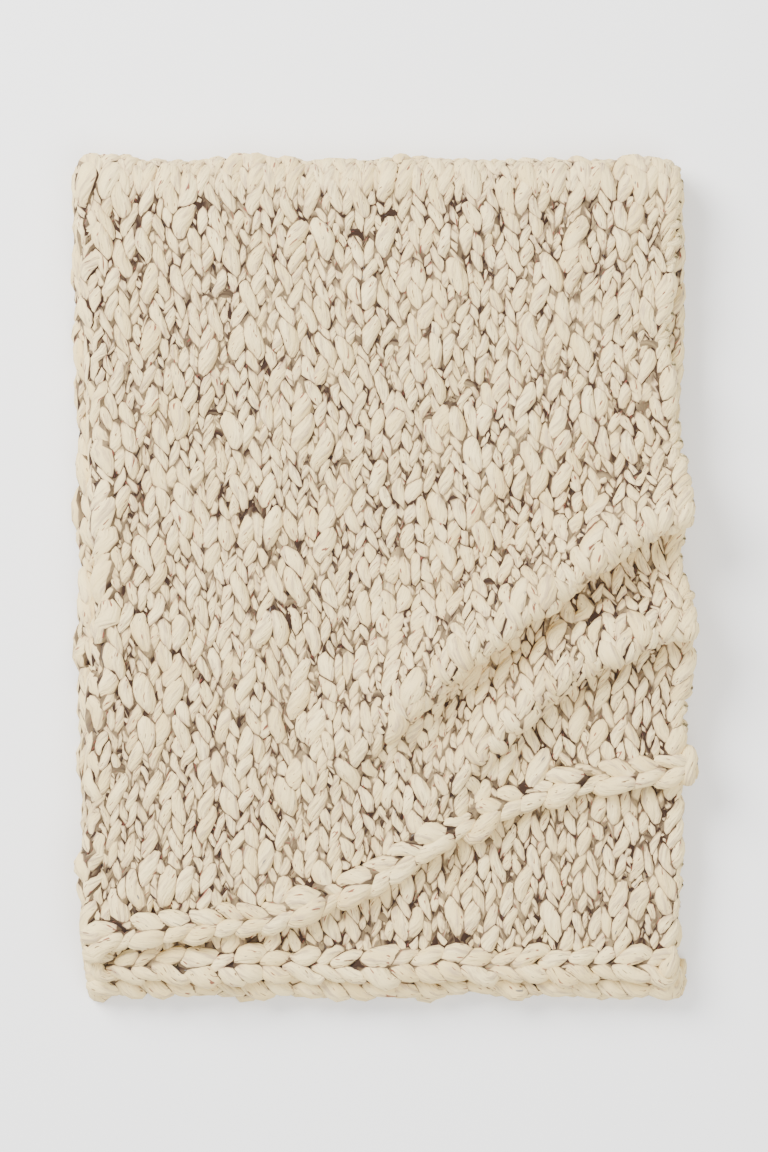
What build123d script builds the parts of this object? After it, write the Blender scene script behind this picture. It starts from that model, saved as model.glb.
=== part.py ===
"""Chunky knitted throw, folded in four and laid flat.

The cloth is one knitted sheet. It is folded in half across its width, which makes a pair of layers
joined by a side fold, and the pair is then folded in half along its length, over a top fold. So it
lies as a lower pair and an upper pair. The upper pair's top layer is pushed up into two slanting
gathers, which draws its hem up into a diagonal.

Frame: +Z up, +X to the open selvedges, +Y to the top fold. The origin is the centre of the footprint,
on the surface that the throw lies on. Millimetres.
"""

import os
from math import cos, pi, tanh

from build123d import *

# Layers and the two pairs
LAYER = 15.9  # thickness of one settled layer of the knit
PAIR_GAP = 0.4  # air between the lower pair and the upper pair
TOP_GAP = 0.6  # air under the top layer
PAIR = 2 * LAYER
PAIR_MID = PAIR + PAIR_GAP / 2  # height of the plane between the pairs
UPPER_Z = PAIR + PAIR_GAP  # underside of the upper pair
TOP_LAYER_Z = UPPER_Z + LAYER + TOP_GAP  # underside of the top layer

# Footprint
RIGHT_X = 287.5  # where the knit ends and the selvedges start
SELVEDGE = 12.0  # width of an edge column
LOWER_FOLD_X = -301.6  # centre line of the lower pair's side fold
UPPER_FOLD_X = -289.5  # centre line of the upper pair's side fold
TOP_FOLD_Y = 393.0  # centre line of the top folds
LOWER_HEM_Y = -412.0  # centre line of the lower pair's hems
SECOND_HEM_Y = -397.0  # centre line of the second layer's hem

# Hems, which are chains of long links
HEM_WIDTH = 26.0
HEM_ROUND = 7.0
HEM_CLEAR = 4.0  # from the gathered cloth to its slanting hem
HEM_END_X = 317.5  # the slanting hem's free end
HEM_STATIONS = 15  # sections along the slanting hem

# The slanting hem's centre line is one smooth step from the left to the right
STEP_Y = -281.0
STEP_RISE = 91.0
STEP_X = 25.5
STEP_SPREAD = 165.0

# The top layer is flat above this line and gathered below it
GATHER_START_Y = 125.0
GATHER_POINTS = 26  # points along each section of the gathered cloth
GATHER_LEFT_X = -65.0  # no cloth is lifted to the left of this
FLAT_STEPS = 4  # spans from the left edge to there
GATHER_STEPS = 16  # spans from there to the right edge

# The two gathers, each a ridge that rises from nothing at its left end:
# (left end x, right end x, ridge y at each end, full height, half width, forward lean)
GATHERS = (
    (GATHER_LEFT_X, RIGHT_X, -185.0, 74.0, 42.0, 50.0, 10.0),
    (65.0, RIGHT_X, -150.0, -45.0, 31.0, 42.0, 8.0),
)

os.makedirs("parts", exist_ok=True)


def finish(piece: BuildPart, name: str):
    """Names a finished piece and writes it as its own node."""
    piece.part.label = name
    export_step(piece.part, f"parts/{name}.step")


def slab(name: str, x_low: float, x_high: float, y_low: float, y_high: float, z_low: float):
    """A flat stretch of one layer."""
    with BuildPart() as piece:
        with BuildSketch(Plane.XY.offset(z_low)):
            with Locations(((x_low + x_high) / 2, (y_low + y_high) / 2)):
                Rectangle(x_high - x_low, y_high - y_low)
        extrude(amount=LAYER)
    finish(piece, name)


def side_fold(name: str, fold_x: float, y_low: float, z_low: float):
    """The half-round fold on the left, which joins the two layers of a pair."""
    with BuildPart() as piece:
        with BuildSketch(Plane.XZ.offset(-TOP_FOLD_Y)):
            with BuildLine():
                top = (fold_x, z_low + PAIR)
                bottom = (fold_x, z_low)
                ThreePointArc(top, (fold_x - LAYER, z_low + LAYER), bottom)
                Line(bottom, top)
            make_face()
        extrude(amount=TOP_FOLD_Y - y_low)
    finish(piece, name)


def straight_hem(name: str, x_low: float, x_high: float, hem_y: float, z_low: float):
    """A hem that runs straight across, as a bar with rounded sides."""
    with BuildPart() as piece:
        with BuildSketch(Plane.YZ.offset(x_low)):
            with Locations((hem_y, z_low + LAYER / 2)):
                RectangleRounded(HEM_WIDTH, LAYER, HEM_ROUND)
        extrude(amount=x_high - x_low)
    finish(piece, name)


def selvedge(name: str, y_low: float, z_low: float):
    """The edge column of one flat layer, rounded where it is free."""
    with BuildPart() as piece:
        with BuildSketch(Plane.XY.offset(z_low)):
            with Locations((RIGHT_X + SELVEDGE / 2, (y_low + TOP_FOLD_Y) / 2)):
                Rectangle(SELVEDGE, TOP_FOLD_Y - y_low)
        extrude(amount=LAYER)
        free_edges = piece.edges().filter_by(Axis.Y).group_by(Axis.X)[-1]
        fillet(free_edges, radius=HEM_ROUND)
    finish(piece, name)


def top_fold(name: str, inner_radius: float, outer_radius: float):
    """Half a ring of cloth about the top fold's centre line, from the lower pair to the upper pair."""
    with BuildPart() as piece:
        with BuildSketch(Plane.YZ.offset(UPPER_FOLD_X)):
            with BuildLine():
                upper_outer = (TOP_FOLD_Y, PAIR_MID + outer_radius)
                lower_outer = (TOP_FOLD_Y, PAIR_MID - outer_radius)
                ThreePointArc(upper_outer, (TOP_FOLD_Y + outer_radius, PAIR_MID), lower_outer)
                if inner_radius:
                    upper_inner = (TOP_FOLD_Y, PAIR_MID + inner_radius)
                    lower_inner = (TOP_FOLD_Y, PAIR_MID - inner_radius)
                    Line(lower_outer, lower_inner)
                    ThreePointArc(lower_inner, (TOP_FOLD_Y + inner_radius, PAIR_MID), upper_inner)
                    Line(upper_inner, upper_outer)
                else:
                    Line(lower_outer, upper_outer)
            make_face()
        extrude(amount=RIGHT_X + SELVEDGE - UPPER_FOLD_X)
    finish(piece, name)


def hem_line(x: float) -> float:
    """The slanting hem's centre line, as y for x."""
    return STEP_Y + STEP_RISE * tanh((x - STEP_X) / STEP_SPREAD)


def gather_curve(x: float) -> list[tuple[float, float]]:
    """The middle of the gathered cloth at x, as (y, z) from the gather's start down to the hem."""
    y_end = hem_line(x) + HEM_WIDTH / 2 + HEM_CLEAR
    middle_z = TOP_LAYER_Z + LAYER / 2
    points = []
    for i in range(GATHER_POINTS):
        base_y = GATHER_START_Y + (y_end - GATHER_START_Y) * i / (GATHER_POINTS - 1)
        y, z = base_y, middle_z
        for x_left, x_right, y_left, y_right, height, half_width, lean in GATHERS:
            along = min(max((x - x_left) / (x_right - x_left), 0), 1)
            rise = along**0.5 * along * (2.5 - 1.5 * along)
            ridge_y = y_left + (y_right - y_left) * along
            across = (base_y - ridge_y) / half_width
            bump = cos(pi * across / 2) ** 2 if abs(across) < 1 else 0.0
            y -= lean * rise * bump
            z += height * rise * bump
        points.append((y, z))
    return points


def thick_section(x: float) -> tuple[list[tuple], list[tuple]]:
    """The upper and lower lines of the gathered cloth at x."""
    middle = gather_curve(x)
    upper, lower = [], []
    for i, (y, z) in enumerate(middle):
        before = middle[max(i - 1, 0)]
        after = middle[min(i + 1, len(middle) - 1)]
        run = Vector(after[0] - before[0], after[1] - before[1]).normalized()
        normal = Vector(run.Y, -run.X)
        upper.append((y + normal.X * LAYER / 2, z + normal.Y * LAYER / 2))
        lower.append((y - normal.X * LAYER / 2, z - normal.Y * LAYER / 2))
    return upper, lower


def gathered_layer():
    """The part of the top layer that is pushed up into two gathers."""
    flat_step = (GATHER_LEFT_X - UPPER_FOLD_X) / FLAT_STEPS
    step = (RIGHT_X - GATHER_LEFT_X) / GATHER_STEPS
    stations = [UPPER_FOLD_X + flat_step * i for i in range(FLAT_STEPS)]
    stations += [GATHER_LEFT_X + step * i for i in range(GATHER_STEPS + 1)]
    with BuildPart() as piece:
        for station in stations:
            upper, lower = thick_section(station)
            with BuildSketch(Plane.YZ.offset(station)):
                with BuildLine():
                    Spline(*upper)
                    Line(upper[-1], lower[-1])
                    Spline(*reversed(lower))
                    Line(lower[0], upper[0])
                make_face()
        loft(ruled=True)
    finish(piece, "top_layer_gathers")


def top_selvedge():
    """The top layer's edge column, flat at first and then over both gathers."""
    upper, lower = thick_section(RIGHT_X)
    with BuildPart() as piece:
        with BuildSketch(Plane.YZ.offset(RIGHT_X)):
            with BuildLine():
                Line((TOP_FOLD_Y, lower[0][1]), (TOP_FOLD_Y, upper[0][1]))
                Line((TOP_FOLD_Y, upper[0][1]), upper[0])
                Spline(*upper)
                Line(upper[-1], lower[-1])
                Spline(*reversed(lower))
                Line(lower[0], (TOP_FOLD_Y, lower[0][1]))
            make_face()
        extrude(amount=SELVEDGE)
    finish(piece, "top_selvedge")


def slanting_hem():
    """The top layer's hem, drawn up into a diagonal by the gathers."""
    x_low = UPPER_FOLD_X - LAYER
    step = (HEM_END_X - x_low) / (HEM_STATIONS - 1)
    with BuildPart() as piece:
        for i in range(HEM_STATIONS):
            x = x_low + step * i
            with BuildSketch(Plane.YZ.offset(x)):
                with Locations((hem_line(x), TOP_LAYER_Z + LAYER / 2)):
                    RectangleRounded(HEM_WIDTH, LAYER, HEM_ROUND)
        loft(ruled=True)
    finish(piece, "cast_on_edge_top")


# Lower pair
LOWER_PANEL_Y = LOWER_HEM_Y + HEM_WIDTH / 2
slab("bottom_layer", LOWER_FOLD_X, RIGHT_X, LOWER_PANEL_Y, TOP_FOLD_Y, 0)
slab("third_layer", LOWER_FOLD_X, RIGHT_X, LOWER_PANEL_Y, TOP_FOLD_Y, LAYER)
side_fold("lower_side_fold", LOWER_FOLD_X, LOWER_HEM_Y + HEM_WIDTH / 2, 0)
selvedge("bottom_selvedge", LOWER_PANEL_Y, 0)
selvedge("third_selvedge", LOWER_PANEL_Y, LAYER)
LOWER_HEM_X = LOWER_FOLD_X - LAYER
straight_hem("bind_off_edge_bottom", LOWER_HEM_X, RIGHT_X + SELVEDGE, LOWER_HEM_Y, 0)
straight_hem("bind_off_edge_third", LOWER_HEM_X, RIGHT_X + SELVEDGE, LOWER_HEM_Y, LAYER)

# Top folds, which join the two pairs
top_fold("inner_top_fold", 0, LAYER)
top_fold("outer_top_fold", LAYER, PAIR)

# Upper pair
SECOND_PANEL_Y = SECOND_HEM_Y + HEM_WIDTH / 2
slab("second_layer", UPPER_FOLD_X, RIGHT_X, SECOND_PANEL_Y, TOP_FOLD_Y, UPPER_Z)
slab("top_layer", UPPER_FOLD_X, RIGHT_X, GATHER_START_Y, TOP_FOLD_Y, TOP_LAYER_Z)
gathered_layer()
side_fold("upper_side_fold", UPPER_FOLD_X, hem_line(UPPER_FOLD_X) + HEM_WIDTH / 2 + HEM_CLEAR, UPPER_Z)
selvedge("second_selvedge", SECOND_PANEL_Y, UPPER_Z)
top_selvedge()
straight_hem("cast_on_edge_second", UPPER_FOLD_X, RIGHT_X + SELVEDGE, SECOND_HEM_Y, UPPER_Z)
slanting_hem()
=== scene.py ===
"""Chunky slub-yarn throw, folded in four and laid flat, stitch by stitch.

The cloth is one sheet. u runs across its width, from the top layer's free selvedge over the side fold to
the second layer's free selvedge. v runs along its length and is 0 at the top fold, positive in the upper
half and negative in the lower half. n is the height above the middle of the cloth, positive on the face
that is outside at the side fold. Lengths are in millimetres until a mesh is made.
"""

import math

import bpy
import numpy as np
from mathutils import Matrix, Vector


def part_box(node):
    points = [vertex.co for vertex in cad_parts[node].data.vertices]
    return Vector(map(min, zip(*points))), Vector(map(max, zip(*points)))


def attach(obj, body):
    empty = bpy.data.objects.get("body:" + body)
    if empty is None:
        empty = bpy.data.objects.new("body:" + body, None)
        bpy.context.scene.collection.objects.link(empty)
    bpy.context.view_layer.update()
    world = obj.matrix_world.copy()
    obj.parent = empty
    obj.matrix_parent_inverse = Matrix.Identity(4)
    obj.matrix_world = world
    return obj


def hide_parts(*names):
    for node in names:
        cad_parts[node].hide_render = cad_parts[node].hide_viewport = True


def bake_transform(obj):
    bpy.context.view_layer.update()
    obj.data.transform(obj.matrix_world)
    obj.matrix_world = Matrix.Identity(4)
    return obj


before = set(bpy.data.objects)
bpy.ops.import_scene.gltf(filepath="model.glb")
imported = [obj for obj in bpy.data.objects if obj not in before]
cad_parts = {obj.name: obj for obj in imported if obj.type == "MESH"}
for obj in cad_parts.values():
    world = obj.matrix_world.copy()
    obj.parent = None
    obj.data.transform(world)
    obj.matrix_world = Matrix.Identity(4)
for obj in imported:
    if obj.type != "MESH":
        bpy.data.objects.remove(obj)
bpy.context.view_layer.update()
MM = 0.001


def mm_box(node):
    """A CAD node's lowest and highest corners, in millimetres."""
    low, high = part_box(node)
    return np.array(low) / MM, np.array(high) / MM


# Places that the cloth takes from the CAD model
LAYER = mm_box("bottom_layer")[1][2]
FOLD_Y = mm_box("top_layer")[1][1]
FOLD_Z = sum(corner[2] for corner in mm_box("outer_top_fold")) / 2
TOP_MID = sum(corner[2] for corner in mm_box("top_layer")) / 2 - FOLD_Z
INNER_MID = sum(corner[2] for corner in mm_box("second_layer")) / 2 - FOLD_Z
HEM_2_Y = sum(corner[1] for corner in mm_box("cast_on_edge_second")) / 2
HEM_4_Y = sum(corner[1] for corner in mm_box("bind_off_edge_bottom")) / 2

# The sheet of cloth
SIDE_R = (TOP_MID - INNER_MID) / 2  # middle of the cloth round the side fold
FLAT_U = 582.0  # one layer's width, up to the side fold
FACE_N = 4.5  # the height of the stitches, where the cloth's own length is measured round a fold
TURN_R = SIDE_R + FACE_N
WIDTH = 2 * FLAT_U + math.pi * TURN_R
HEM_V = FOLD_Y - HEM_2_Y + math.pi * INNER_MID / 2
LOW_HEM_V = FOLD_Y - HEM_4_Y + math.pi * (INNER_MID + TOP_MID) / 4
CUT_U = FLAT_U + 2.1 * TURN_R  # the rows are cut here, under the side fold

# The knit
COLUMNS = 64
PITCH = WIDTH / COLUMNS
ROW = 20.0
YARN = 6.45  # mean radius
WIDE, TALL = 1.08, 0.93  # the yarn lies a little flat: its width and its height, in radii
LOOP_H = 26.5  # half a loop's height
LOOP_A = 0.39 * PITCH  # how far a loop's legs lean
LOOP_N = (1.6, 2.35, 1.5, 0.5)  # a loop's mean height, and how its legs and its foot stand out
TOP_DETAIL = (22, 12)  # samples in a stitch, sides of the yarn
LOW_DETAIL = (12, 8)
HEM_ROOM = 13.0  # from the last row to the middle of the hem
BAND = 8  # rows in a piece

# Outlines, as lists of y and x
LEFT_Y = (-420, -330, -180, -30, 140, 280, 320, 420)
UPPER_LEFT_X = (-293, -294, -286, -278, -284, -291, -293, -299)
LOWER_LEFT_X = (-290, -293, -297, -297, -298, -300, -302, -303)
RIGHT_Y = (-200, -140, -120, -90, -50, -20, 5, 25, 70, 95, 130, 200, 240, 310, 400)
RIGHT_BULGE = (10, 8, 12, 17, 19, 17, 6, 4, 14, 13, 4, -2, -8, -1, 5)
RIGHT_X = 290.0

# The slanting hem, and the front edges of the two gathers, as lists of x and y
HEM_X = (-300, -242, -198, -154, -110, -66, -22, 38, 82, 126, 170, 216, 258, 303)
HEM_Y = (-371, -360, -354, -350, -346, -331, -313, -276, -256, -231, -214, -203, -201, -191)
EDGE_1_X = (-90, -16, 27, 77, 126, 150, 188, 215, 258, 300)
EDGE_1_Y = (-240, -187, -141, -96, -62, -42, -15, 8, 29, 50)
EDGE_2_X = (40, 86, 116, 177, 218, 258, 316)
EDGE_2_Y = (-200, -168, -158, -116, -91, -76, -62)
GATHER_1 = ((-85, 0, 60, 130, 300), (0, 0.42, 0.78, 1, 1))  # strength, as x and share
GATHER_2 = ((30, 100, 160, 220, 300), (0, 0.42, 0.74, 0.92, 1))
GATHER_LENGTH = (176.0, 140.0)  # cloth taken up in each gather
GATHER_RISE = 0.87

# A gather's slope in degrees along its length, from behind the ridge to in front of it
SLOPE_AT = (0, 0.24, 0.38, 0.5, 0.62, 0.7, 0.78, 0.9, 1)
SLOPE = (0, 44, 47, 20, -58, -112, -118, -40, 0)


def soft_noise(shape, spread, seed):
    """Smooth noise of unit strength, with a blur of spread cells along each axis."""
    field = np.random.default_rng(seed).standard_normal(shape)
    for axis, width in enumerate(spread):
        if width:
            k = np.fft.fftfreq(shape[axis])
            soften = np.exp(-2 * (math.pi * k * width) ** 2)
            line = [-1 if i == axis else 1 for i in range(len(shape))]
            field = np.fft.ifft(np.fft.fft(field, axis=axis) * soften.reshape(line), axis=axis).real
    return field / field.std()


def smooth_curve(at, xs, ys, spread=14.0):
    """A smooth line through a list of points."""
    total = 0
    offsets = np.linspace(-2, 2, 9)
    for offset in offsets:
        total = total + np.interp(at + offset * spread, xs, ys) * math.exp(-offset * offset / 2)
    return total / np.exp(-offsets**2 / 2).sum()


def gather_profile(strength, length, steps=120):
    """How far forward and how high the cloth goes through one gather: arrays for each strength."""
    at = np.linspace(0, 1, steps)
    slope = np.radians(smooth_curve(at, SLOPE_AT, SLOPE, 0.03))
    slope = strength[:, None] * (slope - slope[0])[None, :]
    run = length / steps + FACE_N * np.gradient(slope, axis=1)
    ahead = np.cumsum(np.cos(slope) * run, axis=1)
    up = np.cumsum(np.sin(slope) * run, axis=1)
    up = (up - up[:, -1:] * at * at * (3 - 2 * at)) * GATHER_RISE
    return at * length, ahead, up


def top_layer_profile(u, s):
    """y and z of the gathered top layer, for each u and each share s of the way to its hem."""
    x = RIGHT_X + 3 - u * (RIGHT_X + 288) / FLAT_U
    hem = smooth_curve(x, HEM_X, HEM_Y)
    strength_1 = smooth_curve(x, *GATHER_1, 18.0)
    strength_2 = smooth_curve(x, *GATHER_2, 18.0)
    wiggle = 4.0 * soft_noise((len(u),), (14,), 21)
    edge_1 = smooth_curve(x, EDGE_1_X, EDGE_1_Y) + 13 + wiggle
    edge_2 = smooth_curve(x, EDGE_2_X, EDGE_2_Y) + 11 + wiggle
    in_1, ahead_1, up_1 = gather_profile(strength_1, GATHER_LENGTH[0])
    in_2, ahead_2, up_2 = gather_profile(strength_2, GATHER_LENGTH[1])
    front = int(0.72 * ahead_1.shape[1])
    start_1 = FOLD_Y - edge_1 - ahead_1[:, front]
    end_1_y = FOLD_Y - start_1 - ahead_1[:, -1]
    start_2 = np.maximum(end_1_y - edge_2 - ahead_2[:, front], 0) + start_1 + in_1[-1]
    end_2_y = end_1_y - (start_2 - start_1 - in_1[-1]) - ahead_2[:, -1]
    full = start_2 + in_2[-1] + end_2_y - hem
    y = np.zeros((len(u), len(s)))
    z = np.zeros_like(y)
    for i in range(len(u)):
        knots = np.concatenate(([-400.0], start_1[i] + in_1, start_2[i] + in_2, [full[i] + 200]))
        ahead = np.concatenate(([-400.0], start_1[i] + ahead_1[i], FOLD_Y - end_1_y[i] + start_2[i]
                                - start_1[i] - in_1[-1] + ahead_2[i], [FOLD_Y - hem[i] + 200]))
        up = np.concatenate(([0], up_1[i], up_2[i], [0]))
        along = s * full[i]
        y[i] = FOLD_Y - np.interp(along, knots, ahead)
        z[i] = np.interp(along, knots, up)
    return y, z


def build_surface():
    """The middle of the cloth and its outward normal, on a fine grid of u and v."""
    u = np.linspace(-16, WIDTH + 16, 620)
    v = np.linspace(-LOW_HEM_V - 40, HEM_V + 40, 860)
    turn = np.clip((u - FLAT_U) / TURN_R, 0, math.pi)
    height = (TOP_MID + INNER_MID) / 2 + (TOP_MID - INNER_MID) / 2 * np.cos(turn)
    uu, vv = np.meshgrid(u, v, indexing="ij")
    h = height[:, None]
    past = np.abs(vv) - math.pi * h / 2
    upper = vv > 0
    angle = vv / h
    y = np.where(past > 0, FOLD_Y - past, FOLD_Y + h * np.cos(angle))
    z = np.where(past > 0, FOLD_Z + np.sign(vv) * h, FOLD_Z + h * np.sin(angle))
    lower_scale = (FOLD_Y - HEM_4_Y) / (LOW_HEM_V - math.pi * h / 2)
    y = np.where((past > 0) & ~upper, FOLD_Y - past * lower_scale, y)
    flat = u <= FLAT_U
    share = np.linspace(0, 1.06, 900)
    table_y, table_z = top_layer_profile(u[flat], share)
    for i in np.flatnonzero(flat):
        on = (past[i] > 0) & upper[i]
        s = past[i][on] / (HEM_V - math.pi * height[i] / 2)
        y[i][on] = np.interp(s, share, table_y[i])
        z[i][on] += np.interp(s, share, table_z[i])
    left = np.where(upper, smooth_curve(y, LEFT_Y, UPPER_LEFT_X), smooth_curve(y, LEFT_Y, LOWER_LEFT_X))
    ease = np.clip(vv / 60 + 0.5, 0, 1)
    left_low = smooth_curve(y, LEFT_Y, LOWER_LEFT_X)
    left_high = smooth_curve(y, LEFT_Y, UPPER_LEFT_X)
    left = left_low + (left_high - left_low) * ease * ease * (3 - 2 * ease)
    over = np.where(uu < FLAT_U, uu, WIDTH - uu) / FLAT_U
    over = np.where((uu > FLAT_U) & (uu < WIDTH - FLAT_U), 1.0, over)
    x = RIGHT_X + (left - RIGHT_X) * over - SIDE_R * np.sin(turn)[:, None]
    near_edge = np.exp(-(np.clip(over * FLAT_U, 0, None) / 95.0) ** 2)
    bulge = smooth_curve(y, RIGHT_Y, RIGHT_BULGE, 9.0)
    x += np.where(uu < WIDTH / 2, bulge * np.clip(ease * 2 - 1, 0, 1) * near_edge, 0)
    x += 4.0 * near_edge * np.where(uu > WIDTH / 2, np.sin(vv / 83.0) * ease, 0)
    lumps = soft_noise(uu.shape, (16, 20), 5) * 1.3 + soft_noise(uu.shape, (40, 50), 6) * 1.2
    z += np.where(upper, lumps * np.clip(past / 60, 0, 1) * (uu < FLAT_U + 4), 0)
    points = np.stack([x, y, z], axis=-1)
    across = np.gradient(points, axis=0)
    along = np.gradient(points, axis=1)
    normal = np.cross(across, along)
    normal /= np.linalg.norm(normal, axis=-1, keepdims=True) + 1e-9
    spread = {}
    for side in (1, -1):
        face = points + 5.0 * side * normal
        shares = [np.linalg.norm(np.gradient(face, axis=axis), axis=-1)
                  / np.linalg.norm(step, axis=-1) for axis, step in ((0, across), (1, along))]
        spread[side] = np.clip(np.maximum(*shares), 1.0, 1.25)[..., None]
    return u, v, points, normal, spread


GRID_U, GRID_V, POINTS, NORMALS, SPREAD = build_surface()


def from_grid(field, u, v):
    """A field's values between the surface's grid points."""
    a = np.clip((u - GRID_U[0]) / (GRID_U[1] - GRID_U[0]), 0, len(GRID_U) - 1.001)
    b = np.clip((v - GRID_V[0]) / (GRID_V[1] - GRID_V[0]), 0, len(GRID_V) - 1.001)
    i, j = a.astype(int), b.astype(int)
    fa, fb = (a - i)[..., None], (b - j)[..., None]
    low = field[i, j] * (1 - fb) + field[i, j + 1] * fb
    high = field[i + 1, j] * (1 - fb) + field[i + 1, j + 1] * fb
    return low * (1 - fa) + high * fa


def on_cloth(u, v, n):
    """Points at height n above the cloth, and the cloth's normals there."""
    normal = from_grid(NORMALS, u, v)
    normal /= np.linalg.norm(normal, axis=-1, keepdims=True)
    return from_grid(POINTS, u, v) + normal * np.asarray(n)[..., None], normal


def press_down(points):
    """Cloth that would go under the surface it lies on is pressed flat against it."""
    z = points[..., 2]
    points[..., 2] = np.where(z < 2.5, 2.5 * np.exp((np.minimum(z, 2.5) - 2.5) / 2.5), z)
    return points


def new_mesh(name, vertices, quads, triangles, uv, clear):
    """A mesh object from arrays. uv has a row for each corner, clear one number for each vertex, from which the yarn
    material paints shade into the creases.
    """
    mesh = bpy.data.meshes.new(name)
    corners = np.concatenate([quads.ravel(), triangles.ravel()])
    sizes = np.concatenate([np.full(len(quads), 4), np.full(len(triangles), 3)])
    starts = np.concatenate([[0], np.cumsum(sizes)[:-1]])
    mesh.vertices.add(len(vertices))
    mesh.vertices.foreach_set("co", (vertices * MM).astype(np.float32).ravel())
    mesh.loops.add(len(corners))
    mesh.loops.foreach_set("vertex_index", corners.astype(np.int32))
    mesh.polygons.add(len(sizes))
    mesh.polygons.foreach_set("loop_start", starts.astype(np.int32))
    mesh.polygons.foreach_set("use_smooth", np.ones(len(sizes), bool))
    mesh.update(calc_edges=True)
    layer = mesh.uv_layers.new(name="Yarn")
    layer.data.foreach_set("uv", uv.astype(np.float32).ravel())
    mesh.attributes.new("clear", "FLOAT", "POINT").data.foreach_set("value", clear.astype(np.float32))
    piece = bpy.data.objects.new(name, mesh)
    bpy.context.scene.collection.objects.link(piece)
    return piece


class Cover:
    """How high the yarns of one face stand, in groups whose yarns never touch one another."""

    CELL = 1.25
    GROUPS = 12
    EMPTY = -12.0

    def __init__(self):
        self.shape = (int((WIDTH + 60) / self.CELL), int((LOW_HEM_V + HEM_V + 120) / self.CELL))
        self.groups = np.full((self.GROUPS, *self.shape), self.EMPTY, np.float32)

    def cell(self, u, v):
        return (u + 30) / self.CELL, (v + LOW_HEM_V + 60) / self.CELL

    def lay(self, u, v, n, radius, group):
        """Adds yarns, given as points close together along them."""
        a, b = self.cell(u, v)
        column, row = np.rint(a).astype(int), np.rint(b).astype(int)
        flat = self.groups.reshape(-1)
        reach = int(WIDE * radius.max() / self.CELL) + 1
        for i in range(-reach, reach + 1):
            for j in range(-reach, reach + 1):
                away = np.hypot(column + i - a, row + j - b) * self.CELL / WIDE
                rise = radius**2 - away**2
                on = rise > 0
                where = (group[on] * self.shape[0] + column[on] + i) * self.shape[1] + row[on] + j
                np.maximum.at(flat, where, (n[on] + TALL * np.sqrt(rise[on])).astype(np.float32))

    def settle(self):
        """Keeps only the highest group in each cell and the next one under it."""
        self.top = self.groups.max(axis=0)
        self.top_group = self.groups.argmax(axis=0)
        np.put_along_axis(self.groups, self.top_group[None], self.EMPTY, 0)
        self.next = self.groups.max(axis=0)
        del self.groups

    def others(self, u, v, group):
        """How high the other yarns stand at some points of a group's yarns."""
        a, b = self.cell(u, v)
        i, j = np.floor(a).astype(int), np.floor(b).astype(int)
        total = 0
        for di, dj in ((0, 0), (0, 1), (1, 0), (1, 1)):
            share = np.abs(1 - di - (a - i)) * np.abs(1 - dj - (b - j))
            own = self.top_group[i + di, j + dj] == group
            total = total + share * np.where(own, self.next[i + di, j + dj], self.top[i + di, j + dj])
        return total


def yarn_piece(name, strands, sides):
    """One piece of many yarns. Each strand holds rows of yarns, as made by strand_on_cloth."""
    vertices, quads, triangles, uvs, tri_uvs, clears = [], [], [], [], [], []
    count = 0
    turn = np.arange(sides) * 2 * math.pi / sides
    for strand in strands:
        points, normals, radii, start = (strand[key] for key in ("points", "normals", "radii", "start"))
        rows, steps = radii.shape
        run = np.gradient(points, axis=1)
        length = np.linalg.norm(run, axis=-1, keepdims=True)
        run /= length + 1e-9
        side = np.cross(run, normals)
        side /= np.linalg.norm(side, axis=-1, keepdims=True) + 1e-9
        up = np.cross(side, run)
        along = np.cumsum(length[..., 0], axis=1) + start[:, None]
        theta = turn[None, None, :]
        twist = along[..., None] / 21.0
        lump = 1 + 0.05 * np.cos(2 * theta + twist) + 0.035 * np.cos(3 * theta - 1.7 * twist + 1)
        lump = lump + 0.03 * np.cos(theta + along[..., None] / 4.3)
        ring = radii[..., None] * lump
        placed = (points[:, :, None, :]
                  + (ring * WIDE * np.cos(theta))[..., None] * side[:, :, None, :]
                  + (ring * TALL * np.sin(theta))[..., None] * up[:, :, None, :])
        placed = press_down(placed)
        body = placed.reshape(-1, 3)
        ends = np.concatenate([points[:, 0], points[:, -1]])
        vertices += [body, press_down(ends)]
        # clear carries the painted crease shade; the centres of the yarns' end caps get 0, so they are painted in full
        # shade.
        clears += [clear_of_others(strand, ring, theta).ravel(), np.zeros(2 * rows)]
        index = count + np.arange(len(body)).reshape(rows, steps, sides)
        after = np.roll(index, -1, axis=2)
        quad = np.stack([index[:, :-1], after[:, :-1], after[:, 1:], index[:, 1:]], axis=-1)
        quads.append(quad.reshape(-1, 4))
        u0 = np.broadcast_to(along[:, :-1, None], quad.shape[:3])
        u1 = np.broadcast_to(along[:, 1:, None], quad.shape[:3])
        v0 = np.broadcast_to(np.arange(sides) / sides, quad.shape[:3])
        v1 = v0 + 1 / sides
        uv = np.stack([np.stack([u0, u0, u1, u1], -1) * MM, np.stack([v0, v1, v1, v0], -1)], -1)
        uvs.append(uv.reshape(-1, 2))
        for end, ring_at, flip in ((0, 0, False), (1, -1, True)):
            centre = count + len(body) + end * rows + np.arange(rows)[:, None]
            first, second = index[:, ring_at], after[:, ring_at]
            if flip:
                first, second = second, first
            fan = np.stack([second, first, np.broadcast_to(centre, first.shape)], -1)
            triangles.append(fan.reshape(-1, 3))
            a = np.broadcast_to(along[:, ring_at, None], first.shape) * MM
            b = np.broadcast_to(np.arange(sides) / sides, first.shape)
            tri_uvs.append(np.stack([np.stack([a, a, a], -1), np.stack([b, b, b], -1)], -1).reshape(-1, 2))
        count += len(body) + 2 * rows
    return new_mesh(name, np.concatenate(vertices), np.concatenate(quads), np.concatenate(triangles),
                    np.concatenate(uvs + tri_uvs), np.concatenate(clears))


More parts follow.
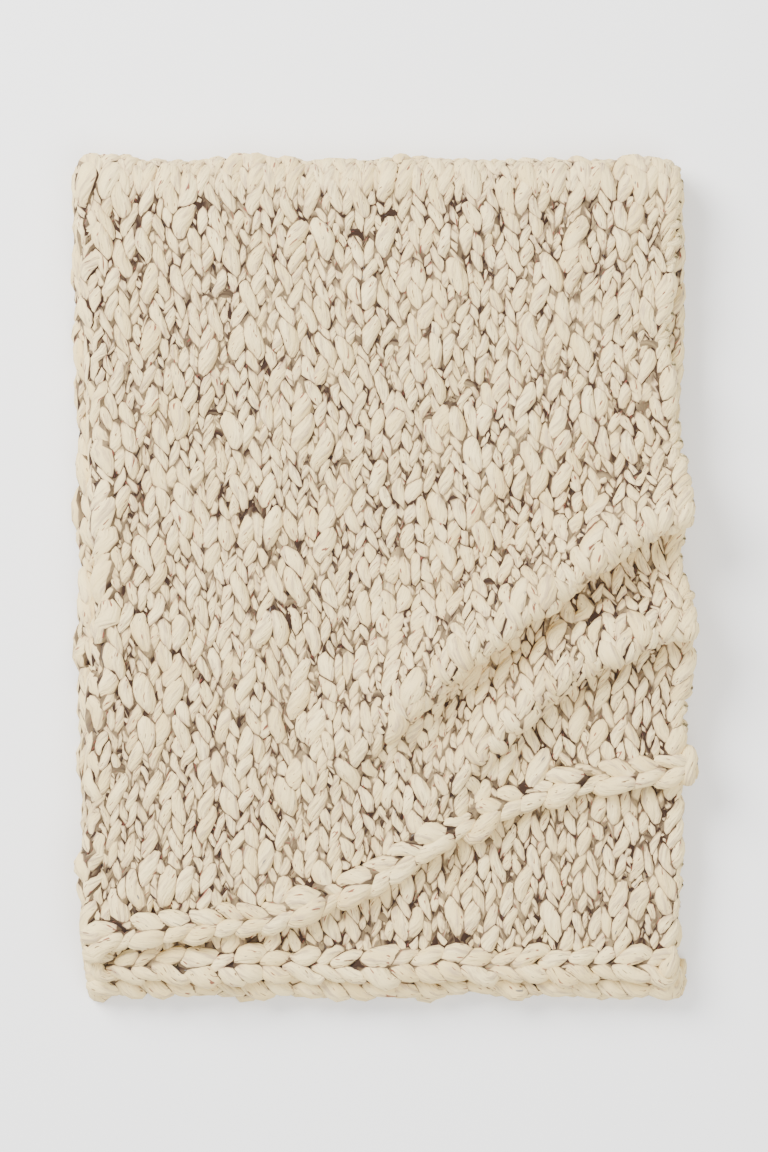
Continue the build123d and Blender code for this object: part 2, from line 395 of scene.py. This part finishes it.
def strand_on_cloth(face, u, v, n, radius, group, start):
    """Rows of yarns at height n above one face of the cloth."""
    points, normal = on_cloth(u, v, face.side * n)
    radius = radius * from_grid(SPREAD[face.side], u, v)[..., 0]
    return {"points": points, "normals": normal * face.side, "radii": radius, "start": start,
            "face": face, "place": (u, v, n), "group": group}


def clear_of_others(strand, ring, theta):
    """How far each point of the yarns stands above the other yarns round it; 0 along a crease. The yarn material paints
    shade into the creases from this number.
    """
    if "face" not in strand:
        return np.full(ring.shape, 3.0)
    u, v, n = strand["place"]
    du, dv = np.gradient(u, axis=1), np.gradient(v, axis=1)
    step = np.hypot(du, dv) + 1e-9
    out = ring * WIDE * np.cos(theta) * strand["face"].side
    rise = n[..., None] + ring * TALL * np.sin(theta)
    below = strand["face"].cover.others(u[..., None] + out * (dv / step)[..., None],
                                        v[..., None] - out * (du / step)[..., None],
                                        strand["group"][..., None])
    return np.clip(rise - below, -6, 9)


def per_arm(table, t):
    """A smooth value along each row from a table with one number for each leg of each loop."""
    at = np.clip(t / math.pi - 0.5, 0, table.shape[1] - 1.001)
    i = at.astype(int)
    f = (1 - np.cos((at - i) * math.pi)) / 2
    return table[:, i] * (1 - f) + table[:, i + 1] * f


ROW_FIRST = -round((LOW_HEM_V - HEM_ROOM) / ROW)
ROW_LAST = round((HEM_V - HEM_ROOM) / ROW)
ROWS = np.arange(ROW_FIRST, ROW_LAST)


def row_v(rows):
    """The middle of each row: the rows share out each half of the cloth evenly."""
    upper, lower = (HEM_V - HEM_ROOM) / ROW_LAST, -(LOW_HEM_V - HEM_ROOM) / ROW_FIRST
    return (rows + 0.5) * np.where(rows >= 0, upper, lower)


class Face:
    """The knit on one face of the cloth: how thick the yarn is and how each loop lies."""

    def __init__(self, side, seed):
        self.side = side
        shape = (len(ROWS), COLUMNS * 2)
        slub = 0.16 * soft_noise(shape, (0, 0.35), seed) + 0.10 * soft_noise(shape, (0.8, 1.1), seed + 1)
        burst = np.clip(soft_noise(shape, (0.3, 0.45), seed + 2) - 1.0, 0, 1.5)
        self.radius = np.clip(YARN * np.exp(slub - 0.04 + 0.40 * burst), 4.6, 9.8)
        extra = self.radius - YARN
        near = (np.roll(extra, 1, axis=0) + np.roll(extra, -1, axis=0)) * 0.4 + extra
        push = np.zeros(shape)
        for step, weight in ((1, 0.50), (2, 0.34), (3, 0.22), (4, 0.12)):
            push += weight * (np.roll(near, step, axis=1) - np.roll(near, -step, axis=1))
        drift = 1.9 * soft_noise(shape, (2.6, 3.0), seed + 3) + 0.6 * soft_noise(shape, (0.5, 0.6), seed + 4)
        self.shift_u = 0.75 * push + drift
        tall = np.roll(extra, 1, axis=0) - np.roll(extra, -1, axis=0)
        self.shift_v = 0.25 * tall + 1.3 * soft_noise(shape, (2.5, 2.5), seed + 5)
        self.shift_v += 0.6 * soft_noise(shape, (0.3, 0.3), seed + 6)
        self.shift_n = 0.65 * soft_noise(shape, (0, 0), seed + 7)
        self.lean = 1 + 0.15 * soft_noise(shape, (0, 0.4), seed + 8)
        self.bend = 1.3 * soft_noise(shape, (0, 0), seed + 9)
        self.edge = 2.4 * soft_noise((len(ROWS), 1), (0.4, 0), seed + 10)
        self.cover = Cover()

    def line(self, rows, t):
        """Rows of loops: u, v, n, radius and group, for the row numbers and the loop angle t."""
        pick = rows - ROW_FIRST
        radius = per_arm(self.radius[pick], t)
        lean = per_arm(self.lean[pick], t)
        last = COLUMNS * 2 * math.pi
        edge = np.clip(np.minimum(t, last - t) / 5, 0, 1)
        u = PITCH * t / (2 * math.pi) + LOOP_A * np.sin(2 * t) * lean
        if self.side < 0:
            u = u + PITCH / 2 * edge * (edge < 2)
        u = u + (per_arm(self.shift_u[pick], t) - per_arm(self.bend[pick], t) * np.cos(4 * t)) * edge
        u = np.clip(u + self.edge[pick] * (1 - edge) ** 2, -6, WIDTH + 6)
        v = row_v(rows)[:, None] + LOOP_H * np.cos(t) * (0.8 + 0.2 * lean)
        v = v + per_arm(self.shift_v[pick], t)
        inner = np.clip((PITCH * t / (2 * math.pi) - CUT_U) / 6 + 0.5, 0, 1)
        beside = np.abs(rows + 0.5)[:, None] < 1
        tight = row_v(rows)[:, None] * 1.6 + (v - row_v(rows)[:, None]) * 0.62
        v = np.where(beside, v + (tight - v) * inner, v)
        ends = np.clip(np.minimum(t, last - t) / 1.5, 0, 1)
        radius = radius * (0.55 + 0.48 * np.sin(t) ** 2 - 0.12 * np.cos(t)) * (0.45 + 0.55 * ends)
        n = LOOP_N[0] - LOOP_N[1] * np.cos(2 * t) + LOOP_N[2] * np.cos(t) - LOOP_N[3] * np.cos(4 * t)
        n = n + 0.6 * (radius - YARN) * np.sin(t) ** 2 + per_arm(self.shift_n[pick], t)
        group = (rows[:, None] % 3) * 3 + (np.floor(t / math.pi) % 3).astype(int)
        return u, v, n, radius, group

    def strand(self, rows, t):
        """The same rows, ready for yarn_piece."""
        return strand_on_cloth(self, *self.line(rows, t), rows * 971.0 + 13.0 * self.side)


def stitch_angles(u_from, u_to, samples):
    """Loop angles from one u to another, with so many samples in each stitch."""
    first, last = (2 * math.pi * u / PITCH for u in (u_from, u_to))
    return np.linspace(first, last, max(4, int(round((last - first) / (2 * math.pi) * samples))))


def chain_line(v_hem, u_from, u_to, steps):
    """A hem: a chain of long links that lies along the cloth's edge."""
    pitch, half_length, half_width = 26.0, 23.0, 13.5
    count = int((u_to - u_from) / pitch)
    t = np.linspace(0, 2 * math.pi, steps)[None, :]
    noise = np.random.default_rng(int(abs(v_hem)) + int(u_from) + 17)
    links = np.arange(count)[:, None]
    radius = 8.7 * np.exp(0.15 * noise.standard_normal((count, 1)) + 0.11 * np.cos(t * 2 + 2.4 * links))
    radius = radius * (0.66 + 0.38 * np.sin(t) ** 2) * (1 + 0.08 * np.cos(4 * t + 5.3 * links))
    radius = radius * np.sqrt(np.clip(np.minimum(t, 2 * math.pi - t), 0.1, 1))
    across = half_width * (t / math.pi - 1) * 1.03 + 7.8 * np.sin(2 * t) * np.exp(noise.normal(0, 0.2, (count, 1)))
    u = u_from + pitch * (links + 0.5) - half_length * np.cos(t) + noise.normal(0, 2.0, (count, 1))
    v = v_hem + across + noise.normal(0, 1.5, (count, 1)) + 1.6 * np.cos(3 * t + 1.7 * links)
    lift = 3.2 if v_hem > 0 else 0.6
    n = lift - 2.8 * np.cos(2 * t) - 1.4 * np.cos(t) + 0.5 * (radius - 7) + noise.normal(0, 0.8, (count, 1))
    group = 9 + (links + (t > math.pi)) % 3 + 0 * links
    return u, v, n, radius, group


def chain(face, v_hem, u_from, u_to):
    u, v, n, radius, group = chain_line(v_hem, u_from, u_to, 22)
    return strand_on_cloth(face, u, v, n, radius, group, np.arange(len(u)) * 173.0 + v_hem)


def hem_end(u, v_hem):
    """A turn of yarn round the free end of a hem."""
    t = np.linspace(-0.4, 2 * math.pi - 0.6, 30)[None, :]
    across, through = 11.5 * np.cos(t) + 1.5 * np.cos(3 * t), 6.5 * np.sin(t)
    points, _ = on_cloth(u + 1.5 * np.sin(2 * t), v_hem + across, through)
    radius = 9.0 + 0.9 * np.cos(3 * t + u)
    return {"points": points, "normals": np.broadcast_to([1.0, 0.0, 0.0], points.shape), "radii": radius,
            "start": np.array([v_hem * 3.0])}


def edge_wraps(rows, at_right):
    """The turns of yarn at a free selvedge, from one face of the cloth to the other."""
    t = np.linspace(-0.5, math.pi + 0.5, 14)[None, :]
    noise = np.random.default_rng(31 + at_right)
    v = row_v(rows)[:, None] + 6 * np.cos(t) + noise.normal(0, 1.5, (len(rows), 1))
    out = (7.5 + noise.normal(0, 1.2, (len(rows), 1))) * np.sin(t) - 3.5
    u = -out if at_right else WIDTH + out
    n = 4.2 * np.cos(t)
    radius = 4.7 * np.exp(noise.normal(0, 0.18, (len(rows), 1))) * (0.7 + 0.3 * np.sin(t))
    points, normal = on_cloth(u + 0 * v, v, n + 0 * v)
    outward = normal * np.cos(t)[..., None]
    return {"points": points, "normals": outward + 1e-3, "radii": radius, "start": rows * 53.0}


# Materials


def new_material(name):
    material = bpy.data.materials.new(name)
    material.use_nodes = True
    nodes, links = material.node_tree.nodes, material.node_tree.links
    return material, nodes, links, nodes["Principled BSDF"]


def math_node(nodes, links, operation, a, b=None):
    node = nodes.new("ShaderNodeMath")
    node.operation = operation
    for socket, value in zip(node.inputs, (a, b)):
        if isinstance(value, (int, float)):
            socket.default_value = value
        elif value is not None:
            links.new(value, socket)
    return node.outputs[0]


def mix_color(nodes, links, share, a, b):
    node = nodes.new("ShaderNodeMix")
    node.data_type = "RGBA"
    for socket, value in ((node.inputs[0], share), (node.inputs[6], a), (node.inputs[7], b)):
        if isinstance(value, (int, float, tuple)):
            socket.default_value = value
        else:
            links.new(value, socket)
    return node.outputs[2]


def ramp(nodes, links, value, stops):
    node = nodes.new("ShaderNodeMapRange")
    links.new(value, node.inputs["Value"])
    for socket, number in zip(("From Min", "From Max", "To Min", "To Max"), stops):
        node.inputs[socket].default_value = number
    return node.outputs["Result"]


def noise_node(nodes, links, vector, scale, detail=2.0):
    node = nodes.new("ShaderNodeTexNoise")
    node.inputs["Scale"].default_value = scale
    node.inputs["Detail"].default_value = detail
    links.new(vector, node.inputs["Vector"])
    return node.outputs["Fac"]


def yarn_coordinates(nodes, links, along_scale, around_scale):
    """A vector that follows the yarn: along it, and round it with no seam."""
    uv = nodes.new("ShaderNodeUVMap")
    uv.uv_map = "Yarn"
    split = nodes.new("ShaderNodeSeparateXYZ")
    links.new(uv.outputs["UV"], split.inputs[0])
    angle = math_node(nodes, links, "MULTIPLY", split.outputs[1], 2 * math.pi)
    twisted = math_node(nodes, links, "ADD", angle, math_node(nodes, links, "MULTIPLY", split.outputs[0], 38.0))
    join = nodes.new("ShaderNodeCombineXYZ")
    links.new(math_node(nodes, links, "MULTIPLY", split.outputs[0], along_scale), join.inputs[0])
    for socket, function in ((1, "COSINE"), (2, "SINE")):
        around = math_node(nodes, links, function, twisted)
        links.new(math_node(nodes, links, "MULTIPLY", around, around_scale), join.inputs[socket])
    return join.outputs[0]


def yarn_material():
    """Cream wool with drawn-out fibres and rust and charcoal flecks, and painted shade: darker tan in the grooves
    between fibres, and warm tan to near black in the creases between yarns.
    """
    material, nodes, links, shader = new_material("slub_yarn")
    fibres = noise_node(nodes, links, yarn_coordinates(nodes, links, 38.0, 1.8), 1.5, 4.0)
    cloudy = noise_node(nodes, links, yarn_coordinates(nodes, links, 14.0, 0.6), 1.0, 2.0)
    color = mix_color(nodes, links, ramp(nodes, links, cloudy, (0.32, 0.68, 0, 1)),
                      (0.81, 0.61, 0.278, 1), (0.93, 0.752, 0.389, 1))
    # Painted shade in the grooves between fibres: darker tan where the fibre noise, which also sets the bump, is low.
    groove_shade = ramp(nodes, links, fibres, (0.34, 0.47, 0.75, 0))
    color = mix_color(nodes, links, groove_shade, color, (0.50, 0.37, 0.23, 1))
    clear = nodes.new("ShaderNodeAttribute")
    clear.attribute_name = "clear"
    uneven = ramp(nodes, links, cloudy, (0.32, 0.58, 0.55, 1.0))
    # Painted shade in the creases: where a yarn stands little above the yarns round it, its colour goes to warm tan,
    # then to near black, unevenly.
    for near, far, share, tint in ((0.2, 2.4, 0.6, (0.52, 0.33, 0.20, 1)), (0.15, 0.85, 1.0, (0.035, 0.018, 0.011, 1))):
        crease_shade = ramp(nodes, links, clear.outputs["Fac"], (near, far, share, 0))
        crease_shade = math_node(nodes, links, "MULTIPLY", crease_shade, uneven)
        color = mix_color(nodes, links, crease_shade, color, tint)
    for seed, at, tint in ((0.0, 0.70, (0.22, 0.06, 0.04, 1)), (7.3, 0.73, (0.14, 0.06, 0.035, 1)),
                           (3.1, 0.76, (0.16, 0.15, 0.14, 1))):
        vector = yarn_coordinates(nodes, links, 85.0, 2.9)
        shift = nodes.new("ShaderNodeVectorMath")
        shift.operation = "ADD"
        shift.inputs[1].default_value = (seed * 5, seed, seed * 2)
        links.new(vector, shift.inputs[0])
        spots = noise_node(nodes, links, shift.outputs[0], 1.15, 1.0)
        color = mix_color(nodes, links, ramp(nodes, links, spots, (at, at + 0.02, 0, 0.9)), color, tint)
    links.new(color, shader.inputs["Base Color"])
    shader.inputs["Roughness"].default_value = 0.92
    shader.inputs["Sheen Weight"].default_value = 0.06
    shader.inputs["Sheen Roughness"].default_value = 0.6
    shader.inputs["Specular IOR Level"].default_value = 0.08
    bump = nodes.new("ShaderNodeBump")
    bump.inputs["Strength"].default_value = 1.0
    bump.inputs["Distance"].default_value = 0.0035
    links.new(fibres, bump.inputs["Height"])
    links.new(bump.outputs[0], shader.inputs["Normal"])
    return material


def ground_material():
    """The inside of the knit, seen only down the gaps between stitches, in tans far darker than the yarn: painted shade
    for the shaded yarns in there.
    """
    material, nodes, links, shader = new_material("knit_inside")
    place = nodes.new("ShaderNodeTexCoord")
    fuzz = noise_node(nodes, links, place.outputs["Object"], 260.0, 4.0)
    # Painted shade: two dark tans, mottled by the noise.
    color = mix_color(nodes, links, ramp(nodes, links, fuzz, (0.35, 0.65, 0, 1)),
                      (0.34, 0.235, 0.14, 1), (0.52, 0.39, 0.25, 1))
    links.new(color, shader.inputs["Base Color"])
    shader.inputs["Roughness"].default_value = 0.95
    shader.inputs["Specular IOR Level"].default_value = 0.03
    bump = nodes.new("ShaderNodeBump")
    bump.inputs["Distance"].default_value = 0.001
    links.new(fuzz, bump.inputs["Height"])
    links.new(bump.outputs[0], shader.inputs["Normal"])
    return material


YARN_MATERIAL = yarn_material()
GROUND_MATERIAL = ground_material()


def add_yarn(name, lines, sides, body=None):
    """Makes a yarn piece and puts it on a body, or, with no body, bakes its place into its mesh."""
    piece = yarn_piece(name, lines, sides)
    piece.data.materials.append(YARN_MATERIAL)
    if body:
        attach(piece, body)
    else:
        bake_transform(piece)
    return piece


# The ground, one sheet of cloth through both folds
def make_ground():
    """A thin closed sheet along the middle of the cloth, inside the stitches."""
    half = 0.7
    u = np.linspace(7, WIDTH - 7, 240)
    v = np.linspace(-LOW_HEM_V + 5, HEM_V - 5, 400)
    uu, vv = np.meshgrid(u, v, indexing="ij")
    faces = []
    total = uu.size
    outer, _ = on_cloth(uu, vv, np.full(uu.shape, half))
    inner, _ = on_cloth(uu, vv, np.full(uu.shape, -half))
    index = np.arange(total).reshape(uu.shape)
    grid = np.stack([index[:-1, :-1], index[1:, :-1], index[1:, 1:], index[:-1, 1:]], -1).reshape(-1, 4)
    faces.append(grid)
    faces.append(grid[:, ::-1] + total)
    rim = np.concatenate([index[:, 0], index[-1, 1:], index[-2::-1, -1], index[0, -2:0:-1]])
    after = np.roll(rim, -1)
    faces.append(np.stack([after, rim, rim + total, after + total], -1))
    quads = np.concatenate(faces)
    vertices = np.concatenate([outer.reshape(-1, 3), inner.reshape(-1, 3)])
    uv = np.zeros((quads.size, 2))
    none = np.zeros((0, 3), int)
    piece = new_mesh("knit_ground", vertices, quads, none, uv, np.zeros(len(vertices)))
    # The sheet's dark tan material is painted shade for the yarns deep in the knit.
    piece.data.materials.append(GROUND_MATERIAL)
    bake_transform(piece)
    return piece


ground = make_ground()

# The stitches, in bands of rows
OUTER, INNER = Face(1, 100), Face(-1, 300)
HEM_TURN = FLAT_U + TURN_R * math.pi * 0.6
HEMS = ((OUTER, HEM_V, -8, HEM_TURN), (INNER, HEM_V, HEM_TURN, WIDTH + 8),
        (OUTER, -LOW_HEM_V, -8, HEM_TURN), (OUTER, -LOW_HEM_V, HEM_TURN, WIDTH + 8))
for face in (OUTER, INNER):
    fine = stitch_angles(0, WIDTH, 46)
    face.cover.lay(*(np.broadcast_to(a, (len(ROWS), len(fine))).ravel() for a in face.line(ROWS, fine)))
for face, *hem in HEMS:
    u, *rest = chain_line(*hem, 60)
    face.cover.lay(*(np.broadcast_to(a, u.shape).ravel() for a in (u, *rest)))
for face in (OUTER, INNER):
    face.cover.settle()
    label = "outer" if face.side > 0 else "inner"
    for part, u_from, u_to, near_fold in (("a", 0.0, CUT_U, 2), ("b", CUT_U, WIDTH, 0)):
        for body, rows in (("upper_half", ROWS[ROWS >= near_fold]), ("lower_half", ROWS[ROWS < -near_fold])):
            seen = body == "upper_half" or part == "b"
            samples, sides = TOP_DETAIL if seen else LOW_DETAIL
            t = stitch_angles(u_from, u_to, samples)
            for first in range(0, len(rows), BAND):
                name = f"{body[:5]}_{label}_rows_{part}_{first // BAND + 1}"
                add_yarn(name, [face.strand(rows[first:first + BAND], t)], sides, body=body)
    rows = ROWS[(ROWS >= -2) & (ROWS < 2)]
    t = stitch_angles(0.0, CUT_U, TOP_DETAIL[0])
    add_yarn(f"fold_{label}_rows", [face.strand(rows, t)], TOP_DETAIL[1])

# The hems
for body, word, hems in (("upper_half", "cast_on", HEMS[:2]), ("lower_half", "bind_off", HEMS[2:])):
    ends = [hem_end(u, hems[0][1]) for u in (-8.0, WIDTH)]
    add_yarn(f"{word}_chain", [chain(*hem) for hem in hems] + ends, 12, body=body)

# The selvedges
for body, rows in (("upper_half", ROWS[ROWS >= 2]), ("lower_half", ROWS[ROWS < -2])):
    lines = [edge_wraps(rows, True), edge_wraps(rows, False)]
    add_yarn(f"{body[:5]}_selvedges", lines, 10, body=body)
add_yarn("fold_selvedge", [edge_wraps(np.arange(-2, 2), True)], 10)

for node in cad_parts:
    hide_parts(node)


# The setting
def plain_material(name, color):
    material, nodes, links, shader = new_material(name)
    shader.inputs["Base Color"].default_value = color
    shader.inputs["Roughness"].default_value = 0.9
    shader.inputs["Specular IOR Level"].default_value = 0.05
    return material


floor_mesh = bpy.data.meshes.new("floor")
floor_mesh.from_pydata([(-12, -12, -0.0004), (12, -12, -0.0004), (12, 12, -0.0004), (-12, 12, -0.0004)],
                       [], [(0, 1, 2, 3)])
floor = bpy.data.objects.new("floor", floor_mesh)
floor.data.materials.append(plain_material("pale_floor", (0.95, 0.95, 0.945, 1)))
bpy.context.scene.collection.objects.link(floor)


def add_light(name, place, aim, size, power):
    light = bpy.data.lights.new(name, "AREA")
    light.shape = "DISK"
    light.size = size
    light.energy = power
    holder = bpy.data.objects.new(name, light)
    holder.location = place
    holder.rotation_mode = "QUATERNION"
    holder.rotation_quaternion = (Vector(aim) - Vector(place)).to_track_quat("-Z", "Y")
    bpy.context.scene.collection.objects.link(holder)


add_light("key", (-2.2, 2.0, 3.0), (0, 0, 0), 2.6, 400)
add_light("fill", (1.2, -1.2, 4.0), (0, 0, 0), 3.0, 130)
world = bpy.data.worlds.new("studio")
world.use_nodes = True
world.node_tree.nodes["Background"].inputs["Color"].default_value = (1, 1, 1, 1)
world.node_tree.nodes["Background"].inputs["Strength"].default_value = 1.15
bpy.context.scene.world = world

camera_data = bpy.data.cameras.new("camera")
camera_data.lens = 150
camera_data.clip_end = 50
camera = bpy.data.objects.new("camera", camera_data)
camera.location = (-0.0014, 0.0005, 4.947)
bpy.context.scene.collection.objects.link(camera)
bpy.context.scene.camera = camera
